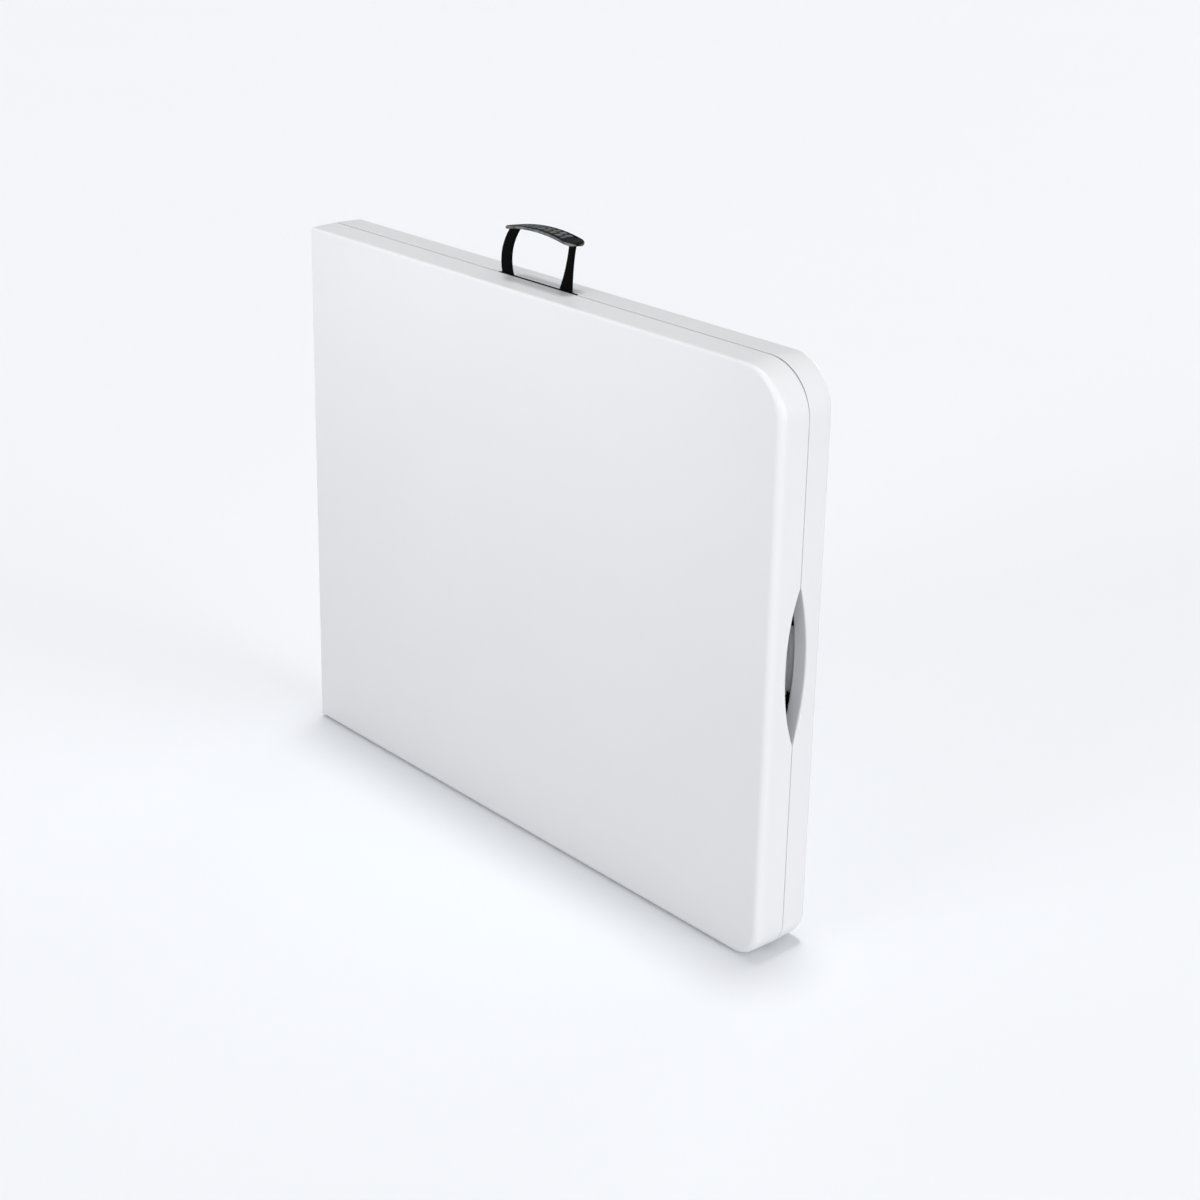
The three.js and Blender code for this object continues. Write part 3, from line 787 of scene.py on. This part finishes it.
def build_foot_cap(half, side):
    """A rubber foot: two ridges around its rim, a domed end and a plug inside the bar."""
    node = f"leg_{half}_foot_cap_{side}"
    size = size_of(node)
    radius = size.x / 2
    length = size.z
    rim = length - 6.5 * mm
    ridge = radius - 0.6 * mm
    plug = 9.2 * mm
    profile = [(0, 0), (0, plug - 1 * mm), (1.5 * mm, plug), (rim, plug), (rim, radius - 0.5 * mm)]
    profile += [(rim + 0.5 * mm, radius), (rim + 1.6 * mm, radius), (rim + 2.0 * mm, ridge)]
    profile += [(rim + 2.6 * mm, ridge), (rim + 3.0 * mm, radius), (rim + 4.2 * mm, radius)]
    profile += dome(rim + 4.2 * mm, 2.3 * mm, radius, radius - 3.4 * mm)
    profile += [(length, radius * 0.45), (length - 0.7 * mm, radius * 0.4), (length - 0.7 * mm, 0)]
    turned_stand_in(node, RUBBER, f"leg_{half}_extension", 2, outward(node), profile)


def build_stud(half, side):
    """The shoulder rivet that a brace eye turns on."""
    node = f"brace_stud_{half}_{side}"
    size = size_of(node)
    radius = size.x / 2
    shank = 4 * mm
    head = size.z - 2 * mm
    profile = [(0, 0), (0, shank), (head, shank), (head, radius - 0.3 * mm), (head + 0.5 * mm, radius)]
    profile += dome(head + 0.5 * mm, 1.5 * mm, radius)
    turned_stand_in(node, ZINC, f"leg_{half}", 2, outward(node), profile)


def build_rivet(half, side, number):
    """A dome-headed rivet through the hinge leaf and the rail."""
    node = f"hinge_rivet_{half}_{side}_{number}"
    size = size_of(node)
    radius = size.x / 2
    height = 2.25 * mm
    head = size.y - height
    profile = [(0, 0), (0, radius / 2), (head, radius / 2), (head, radius)]
    profile += dome(head, height, radius, steps=8)
    turned_stand_in(node, ZINC, f"half_{half}", 1, seam_sign(half), profile, 32)


def build_pin(side):
    """A hinge pin with a domed head above and an eased tip below."""
    node = f"hinge_pin_{side}"
    size = size_of(node)
    radius = size.x / 2
    shank = 3 * mm
    height = 2 * mm
    head = size.z - height
    profile = [(0, 0), (0, shank - 0.6 * mm), (0.6 * mm, shank), (head, shank), (head, radius)]
    profile += dome(head, height, radius)
    turned_stand_in(node, ZINC, "half_a", 2, 1, profile, 40)


def block(x_span, y_span, z_span):
    """A box to be joined to other shapes, from its two ends along each axis."""
    mesh_bm = bmesh.new()
    spans = [sorted(span) for span in (x_span, y_span, z_span)]
    for vert in bmesh.ops.create_cube(mesh_bm, size=1)["verts"]:
        vert.co = Vector([span[0] if place < 0 else span[1] for span, place in zip(spans, vert.co)])
    return mesh_bm


def cylinder(origin, axis, length, radius, sides=TUBE_SIDES):
    """A plain turned shape, to be joined to other shapes or cut out of them."""
    mesh_bm = bmesh.new()
    turned(mesh_bm, origin, axis, [(0, 0), (0, radius), (length, radius), (length, 0)], sides)
    return mesh_bm


def fused(name, shapes, cuts=()):
    """One closed mesh from several: the shapes joined, the cuts taken out."""
    made = []
    for index, shape in enumerate([*shapes, *cuts]):
        bmesh.ops.recalc_face_normals(shape, faces=shape.faces)
        made.append(added_mesh(f"{name}_part_{index}", shape))
    base = made[0]
    for index, part in enumerate(made[1:], start=1):
        joint = base.modifiers.new(f"join_{index}", "BOOLEAN")
        joint.operation = "UNION" if index < len(shapes) else "DIFFERENCE"
        joint.solver = "EXACT"
        joint.object = part
    graph = bpy.context.evaluated_depsgraph_get()
    result = bmesh.new()
    result.from_object(base, graph)
    for part in made:
        mesh = part.data
        bpy.data.objects.remove(part)
        bpy.data.meshes.remove(mesh)
    bmesh.ops.remove_doubles(result, verts=result.verts, dist=1e-6)
    return result


def ease_edges(mesh_bm, offset, threshold=50, segments=2):
    limit = math.radians(threshold)
    edges = [e for e in mesh_bm.edges if len(e.link_faces) == 2 and e.calc_face_angle() > limit]
    bmesh.ops.bevel(
        mesh_bm, geom=edges, offset=offset, offset_type="OFFSET", segments=segments, profile=0.5,
        affect="EDGES", clamp_overlap=True,
    )


def build_leaf(half, side):
    """A pressed hinge leaf: a plate along the rail, rolled into knuckles around the pin."""
    node = f"hinge_leaf_{half}_{side}"
    low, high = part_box(node)
    sign = seam_sign(half)
    thick = 3 * mm
    plate_seam = -sign * 6.4 * mm
    plate_back = plate_seam - sign * thick
    centre_z = (low.z + high.z) / 2
    reach = 25 * mm
    inner = 10 * mm
    barrel, bore, rivet_hole = 6 * mm, 3.3 * mm, 2.9 * mm
    over = 4 * mm
    if half == "a":
        spans = [(-reach, -inner), (inner, reach)]
    else:
        spans = [(TOUCH - inner, inner - TOUCH)]
    start = FOLD_X + 0.6 * mm
    plate = (plate_seam, plate_back)
    shapes = [block((start, high.x), plate, (centre_z - reach, centre_z + reach))]
    for z0, z1 in spans:
        knuckle = (centre_z + z0, centre_z + z1)
        shapes.append(block((start, FOLD_X + barrel), (plate_back, 0), knuckle))
        shapes.append(cylinder((FOLD_X, 0, centre_z + z0), (0, 0, 1), z1 - z0, barrel))
    cuts = [cylinder((FOLD_X, 0, low.z - over), (0, 0, 1), high.z - low.z + 2 * over, bore)]
    for number in (1, 2):
        hole = face_middle(f"hinge_rivet_{half}_{side}_{number}", 1, sign)
        hole.y = plate_back - sign * over
        cuts.append(cylinder(hole, (0, sign, 0), thick + 2 * over, rivet_hole, 28))
    mesh_bm = fused(node, shapes, cuts)
    ease_edges(mesh_bm, 0.25 * mm)
    stand_in(node, mesh_bm, ZINC, f"half_{half}")


def build_pivot_clip(half, side):
    """A ribbed saddle over the pivot tube, with a screw through each foot."""
    node = f"pivot_clip_{half}_{side}"
    low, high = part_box(node)
    sign = seam_sign(half)
    half_x = (high.x - low.x) / 2
    deck = low.y if sign > 0 else high.y
    outer = abs((high.y if sign > 0 else low.y) - LEG_Y * sign)
    bore = 12.8 * mm
    foot = 4.2 * mm
    screw_x = 13.3 * mm
    ease = 0.8 * mm
    centre = Vector((PIVOT_X, LEG_Y * sign, 0))
    depth = abs(centre.y - deck)
    length = high.z - low.z

    def outline(z, radius):
        waist = math.asin((depth - foot) / radius)
        steps = 28
        flank = [(half_x, -depth), (half_x, foot - ease - depth), (half_x - ease, foot - depth)]
        points = [(-x, y) for x, y in flank]
        for i in range(steps + 1):
            angle = math.pi + waist - (math.pi + 2 * waist) * i / steps
            points.append((radius * math.cos(angle), radius * math.sin(angle)))
        points += reversed(flank)
        base_steps = 12
        for i in range(1, base_steps):
            points.append((half_x - 2 * half_x * i / base_steps, -depth))
        return [(centre.x + x, centre.y + sign * y, z) for x, y in points]

    mesh_bm = bmesh.new()
    loops = []
    ribs = 4
    pitch = length / ribs
    thin = outer - 1.0 * mm
    rib = [(0.06, thin), (0.22, thin), (0.30, outer), (0.70, outer), (0.78, thin), (0.94, thin)]
    loops.append(ring_of(mesh_bm, outline(low.z, thin - 0.4 * mm)))
    for i in range(ribs):
        z = low.z + pitch * i
        for share, radius in rib:
            loops.append(ring_of(mesh_bm, outline(z + pitch * share, radius)))
    loops.append(ring_of(mesh_bm, outline(high.z, thin - 0.4 * mm)))
    bores = []
    for z in (high.z, low.z):
        points = []
        for vert in loops[0]:
            edge = vert.co - centre
            flat = Vector((edge.x, edge.y, 0)).normalized() * bore
            points.append(Vector((centre.x + flat.x, centre.y + flat.y, z)))
        bores.append(ring_of(mesh_bm, points))
    skin(mesh_bm, loops + bores + loops[:1])
    seat = deck + sign * foot
    places = [(PIVOT_X + x, seat, (low.z + high.z) / 2) for x in (-screw_x, screw_x)]
    screws(node, places, 3.0 * mm, half)
    stand_in(node, mesh_bm, BLACK, f"half_{half}", sharp_angle=28)


def build_brace_clip(half, side):
    """The hook that the brace bar snaps into, moulded with round edges, and its two screws."""
    node = f"brace_clip_{half}_{side}"
    low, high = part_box(node)
    sign = seam_sign(half)
    deck = low.y if sign > 0 else high.y
    seat, screw_back = 4.6 * mm, 5.2 * mm
    x, y = high.x - screw_back, deck + sign * seat
    places = [(x, y, low.z + (high.z - low.z) * share) for share in (0.25, 0.75)]
    screws(node, places, 3.2 * mm, half)
    mesh_bm = bmesh.new()
    mesh_bm.from_mesh(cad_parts[node].data)
    bmesh.ops.remove_doubles(mesh_bm, verts=mesh_bm.verts, dist=1e-6)
    bmesh.ops.dissolve_limit(
        mesh_bm, angle_limit=math.radians(1), use_dissolve_boundaries=False,
        verts=mesh_bm.verts, edges=mesh_bm.edges,
    )
    ease_edges(mesh_bm, 0.8 * mm, threshold=32, segments=3)
    stand_in(node, mesh_bm, BLACK, f"half_{half}")


def build_brace(half):
    """A bent steel rod: a bar, two arms with round elbows, and a flattened eye at each end."""
    node = f"brace_{half}"
    low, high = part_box(node)
    pivot_x, y, _ = face_middle(f"brace_stud_{half}_handle_side", 2, 1)
    radius = 4.5 * mm
    eye, eye_bore = 9 * mm, 4.4 * mm
    thick = 7 * mm
    ease = 0.8 * mm
    tip = low.x + radius
    arm_z = (high.z - low.z) / 2 - radius
    arm = [(pivot_x - eye + 2 * mm, arm_z)]
    arm += [(tip + BRACE_BEND * (1 - s), arm_z - BRACE_BEND * (1 - c)) for c, s in quarter(12)]
    path = [Vector((x, y, MID_Z + z)) for x, z in arm]
    path += [Vector((x, y, MID_Z - z)) for x, z in reversed(arm)]
    rod = bmesh.new()
    loops = []
    for i, point in enumerate(path):
        before = path[max(i - 1, 0)]
        after = path[min(i + 1, len(path) - 1)]
        tangent = (after - before).normalized()
        up = Vector((0, 1, 0))
        across = tangent.cross(up)
        ring = [point + (across * c + up * s) * radius for _, c, s in circle(20)]
        loops.append(ring_of(rod, ring))
    skin(rod, loops)
    rod.faces.new(loops[0])
    rod.faces.new(loops[-1])
    shapes, cuts = [rod], []
    for side in (1, -1):
        origin = Vector((pivot_x, y, MID_Z + side * arm_z - thick / 2))
        rim = [(0, eye - ease), (ease, eye), (thick - ease, eye), (thick, eye - ease)]
        disc = bmesh.new()
        turned(disc, origin, (0, 0, 1), [(0, 0), *rim, (thick, 0)])
        shapes.append(disc)
        cuts.append(cylinder(origin - Vector((0, 0, mm)), (0, 0, 1), thick + 2 * mm, eye_bore, 32))
    stand_in(node, fused(node, shapes, cuts), GREY, node)


def build_legs(half):
    """The tubes of one leg frame, cut to meet each other, and their welds."""
    leg, extension = f"leg_{half}", f"leg_{half}_extension"
    outer_radius = (PIVOT_HIGH.x - PIVOT_LOW.x) / 2
    bar_radius = size_of(f"{leg}_foot_bar").x / 2
    leg_welds, extension_welds = bmesh.new(), bmesh.new()
    for side in SIDES:
        saddled_tube(f"{leg}_outer_tube_{side}", leg, high_radius=outer_radius)
        weld_bead(leg_welds, f"{leg}_outer_tube_{side}", True, outer_radius)
        saddled_tube(f"{leg}_inner_tube_{side}", extension, low_radius=bar_radius)
        weld_bead(extension_welds, f"{leg}_inner_tube_{side}", False, bar_radius)
    saddled_tube(f"{leg}_crossbar", leg, outer_radius, outer_radius)
    for at_high in (True, False):
        weld_bead(leg_welds, f"{leg}_crossbar", at_high, outer_radius)
    saddled_tube(f"{leg}_pivot_tube", leg)
    saddled_tube(f"{leg}_foot_bar", extension)
    finished(f"{leg}_welds", leg_welds, GREY, leg)
    finished(f"{extension}_welds", extension_welds, GREY, extension)


for half_name in "ab":
    build_legs(half_name)
    build_brace(half_name)
    for side_name in SIDES:
        build_rail(half_name, side_name)
        build_collar(half_name, side_name)
        build_foot_cap(half_name, side_name)
        build_stud(half_name, side_name)
        build_leaf(half_name, side_name)
        build_rivet(half_name, side_name, 1)
        build_rivet(half_name, side_name, 2)
        build_pivot_clip(half_name, side_name)
        build_brace_clip(half_name, side_name)
for side_name in SIDES:
    build_pin(side_name)


# ================================================================ handle
def through(start, middle, end, t):
    """A smooth curve's value at t from 0 to 1, given its values at 0, a half and 1."""
    return start * (1 - t) * (1 - 2 * t) + middle * 4 * t * (1 - t) + end * t * (2 * t - 1)


def grip_arch(x):
    """How far the grip's middle line stands above its ends, at a distance from its middle."""
    half = (GRIP_HIGH.x - GRIP_LOW.x) / 2
    radius = (half ** 2 + GRIP_ARCH ** 2) / (2 * GRIP_ARCH)
    return GRIP_ARCH - radius + math.sqrt(radius ** 2 - x ** 2)


def stack(levels):
    """A closed shape through level outlines, each a list of points."""
    mesh_bm = bmesh.new()
    loops = [ring_of(mesh_bm, points) for points in levels]
    skin(mesh_bm, loops)
    mesh_bm.faces.new(loops[0])
    mesh_bm.faces.new(loops[-1])
    return mesh_bm


def build_strap():
    """A retainer bar, the web that fills the slot, and two flexible legs that narrow towards the grip.
    """
    y = (STRAP_LOW.y + STRAP_HIGH.y) / 2
    half_y = (STRAP_HIGH.y - STRAP_LOW.y) / 2
    bar_top = WIDTH - RIM - TOUCH
    ease = 1.0 * mm

    def bar(x0, x1, z0, z1):
        levels = []
        for z, back in ((z0, ease), (z0 + ease, 0), (z1 - ease, 0), (z1, ease)):
            outline = rounded_rectangle((x1 - x0) / 2 - back, half_y - back * 0.5, 1.2 * mm)
            levels.append([((x0 + x1) / 2 + px, y + py, z) for px, py in outline])
        return stack(levels)

    foot = bar_top - 2 * mm
    shapes = [
        bar(STRAP_LOW.x, STRAP_HIGH.x, STRAP_LOW.z, bar_top),
        # the web: its black top stands in for the shade along the slot
        bar(SLOT_START + mm, SLOT_END - mm, foot, WIDTH - WEB_DROP),
    ]
    middle_grip = (GRIP_HIGH.x + GRIP_LOW.x) / 2
    steps = 30
    for low, middle, high in STRAP_LEGS:
        top = WIDTH + GRIP_HEIGHT + grip_arch(high[0] - middle_grip) - 0.5 * mm
        levels = []
        for i in range(steps + 1):
            z = foot + (top - foot) * i / steps
            t = max(0.0, (z - WIDTH) / (top - WIDTH))
            x = through(low[0], middle[0], high[0], t)
            half_x = through(low[1], middle[1], high[1], t) / 2
            outline = rounded_rectangle(half_x, half_y, 1.3 * mm)
            levels.append([(x + px, y + py, z) for px, py in outline])
        shapes.append(stack(levels))
    mesh_bm = fused("handle_strap", shapes)
    finished("handle_strap_moulding", mesh_bm, NYLON, "handle", "handle_strap")


def build_grip():
    """A thin arched leaf: a raised border and anti-slip bars on top, and a channel below."""
    half = (GRIP_HIGH.x - GRIP_LOW.x) / 2
    middle_x = (GRIP_HIGH.x + GRIP_LOW.x) / 2
    middle_y = (STRAP_LOW.y + STRAP_HIGH.y) / 2
    tilt = math.radians(GRIP_TILT)
    half_width = GRIP_WIDTH / 2
    half_thick = GRIP_THICKNESS / 2
    bar_pitch, bar_share, bar_depth = 11 * mm, 0.6, 1.5 * mm
    bars_end, bars_side, border_side = 44 * mm, 0.62, 0.74
    end_ease = 2.2 * mm

    def width_at(x):
        past = abs(x) - (half - GRIP_CORNER)
        if past <= 0:
            return half_width
        return half_width - GRIP_CORNER + math.sqrt(max(GRIP_CORNER ** 2 - past ** 2, 0))

    def ramp(value, start, end):
        return max(0.0, min(1.0, (value - start) / (end - start)))

    def bar_height(x, share):
        """1 on top of an anti-slip bar, 0 beside it. Two rows of bars, set half a pitch apart."""
        row = 0.0 if share > 0 else 0.5
        phase = (x / bar_pitch + row) % 1.0
        along = ramp(bar_share / 2 - abs(phase - 0.5), 0, 0.07) * ramp(bars_end - abs(x), 0, 1.0 * mm)
        return along * ramp(bars_side - abs(share), 0, 0.04) * ramp(abs(share), 0.03, 0.07)

    def relief(x, share):
        """How far the top is pressed in: a sunk field, with the bars standing in it."""
        in_field = ramp(border_side - abs(share), 0, 0.05)
        in_field *= ramp(bars_end + 6 * mm - abs(x), 0, 1.2 * mm)
        return -bar_depth * in_field * (1 - bar_height(x, share))

    def under(x, share):
        """The channel that the fingers rest in."""
        return 1.2 * mm * ramp(0.8 - share, 0, 0.12) * ramp(half - 20 * mm - abs(x), 0, 4 * mm)

    def edge(share):
        """The thickness at a share of the half width: full in the middle, 0 at the rounded edge."""
        return math.sqrt(max(0.0, 1 - abs(share) ** 9))

    def section(x, squeeze):
        """A closed loop around the grip at one place along it, with the painted highlight at each point.
        """
        reach = width_at(x) - (1 - squeeze) * 1.2 * mm
        arch = grip_arch(x)
        count = 72
        points = []
        for i in range(count + 1):
            share = -1 + 2 * i / count
            top = (half_thick + relief(x, share)) * edge(share) * squeeze
            points.append((share * reach, arch + top))
            # painted highlight on the bar tops and along both edges of the top
            painted_highlight.append(max(bar_height(x, share), ramp(abs(share), 0.9, 0.97)))
        for i in range(1, count):
            share = 1 - 2 * i / count
            bottom = (half_thick - under(x, abs(share))) * edge(share) * squeeze
            points.append((share * reach, arch - bottom))
            # painted highlight along both edges underneath
            painted_highlight.append(ramp(abs(share), 0.86, 0.95))
        return points

    levels, painted_highlight = [], []
    stations = 256
    for i in range(stations + 1):
        x = -half + 2 * half * i / stations
        past = max(0.0, (abs(x) - (half - end_ease)) / end_ease)
        squeeze = max(math.sqrt(max(0.0, 1 - past ** 2)), 0.12)
        points = []
        for py, pz in section(x, squeeze):
            tilted_y = py * math.cos(tilt) + pz * math.sin(tilt)
            tilted_z = -py * math.sin(tilt) + pz * math.cos(tilt)
            points.append((middle_x + x, middle_y + tilted_y, WIDTH + GRIP_HEIGHT + tilted_z))
        levels.append(points)
    name = "handle_grip_moulding"
    grip = finished(name, stack(levels), BLACK, "handle", "handle_grip", sharp_angle=40)
    # the painted highlight, one value per point, read by the black plastic's shader
    layer = grip.data.attributes.new("painted_highlight", "FLOAT", "POINT")
    layer.data.foreach_set("value", painted_highlight)


build_strap()
build_grip()


# ================================================================ stage, light and camera
def build_floor():
    mesh_bm = bmesh.new()
    bmesh.ops.create_grid(mesh_bm, x_segments=8, y_segments=8, size=60)
    floor = added_mesh("floor", mesh_bm)
    floor.data.materials.append(floor_paint())


def added_lamp(name, kind, source, energy):
    """A lamp whose light comes from the given direction."""
    lamp = added(name, bpy.data.lights.new(name, kind))
    lamp.data.energy = energy
    lamp.rotation_mode = "QUATERNION"
    lamp.rotation_quaternion = Vector(source).to_track_quat("Z", "Y")
    return lamp


def soft_sun(name, source, strength, spread_degrees):
    """A wide sun."""
    lamp = added_lamp(name, "SUN", source, strength)
    lamp.data.angle = math.radians(spread_degrees)


def soft_box(name, place, source, width, height, power, limit_degrees):
    """A rectangular lamp whose light stays inside a limited angle."""
    lamp = added_lamp(name, "AREA", source, power)
    lamp.data.shape = "RECTANGLE"
    lamp.data.size = width
    lamp.data.size_y = height
    lamp.data.spread = math.radians(limit_degrees)
    lamp.location = place
    lamp.visible_camera = False


def studio_world():
    world = bpy.data.worlds.new("studio")
    world.use_nodes = True
    background = world.node_tree.nodes["Background"]
    background.inputs["Color"].default_value = (0.985, 0.992, 1.0, 1)
    background.inputs["Strength"].default_value = 0.48
    bpy.context.scene.world = world


def aim_camera():
    """The photographer stands at the table's outer end, a little above it, 2.9 m away."""
    azimuth, elevation, roll = (math.radians(a) for a in (47.22, 18.65, 1.21))
    away, aside, above = 2.8825, 0.076, 0.1631
    aim = Matrix.Rotation(azimuth, 4, "Z") @ Matrix.Rotation(math.pi / 2 - elevation, 4, "X")
    aim = aim @ Matrix.Rotation(roll, 4, "Z")
    camera = bpy.data.cameras.new("camera")
    camera.sensor_width = 36
    camera.lens = 65.02
    camera.shift_y = -0.1333
    camera.clip_end = 200
    eye = added("camera", camera)
    eye.matrix_world = Matrix.Translation((0, 0, MID_Z)) @ aim @ Matrix.Translation((aside, above, away))
    bpy.context.scene.camera = eye


build_floor()
studio_world()
soft_sun("front_fill", (-0.1, -0.98, 0.14), 0.86, 30)
soft_sun("end_fill", (0.97, 0.12, 0.13), 1.75, 30)
soft_sun("camera_fill", (0.7, -0.64, 0.3), 0.7, 12)
soft_sun("back_fill", (-0.3, 0.95, 0.07), 0.75, 30)
soft_sun("overhead", (-0.04, 0.055, 1.0), 1.35, 11)
soft_box("front_box", (-0.1, -1.1, 1.0), (0, -1, 0), 1.0, 0.4, 1.35, 95)
aim_camera()
bpy.context.scene.view_settings.view_transform = "Standard"
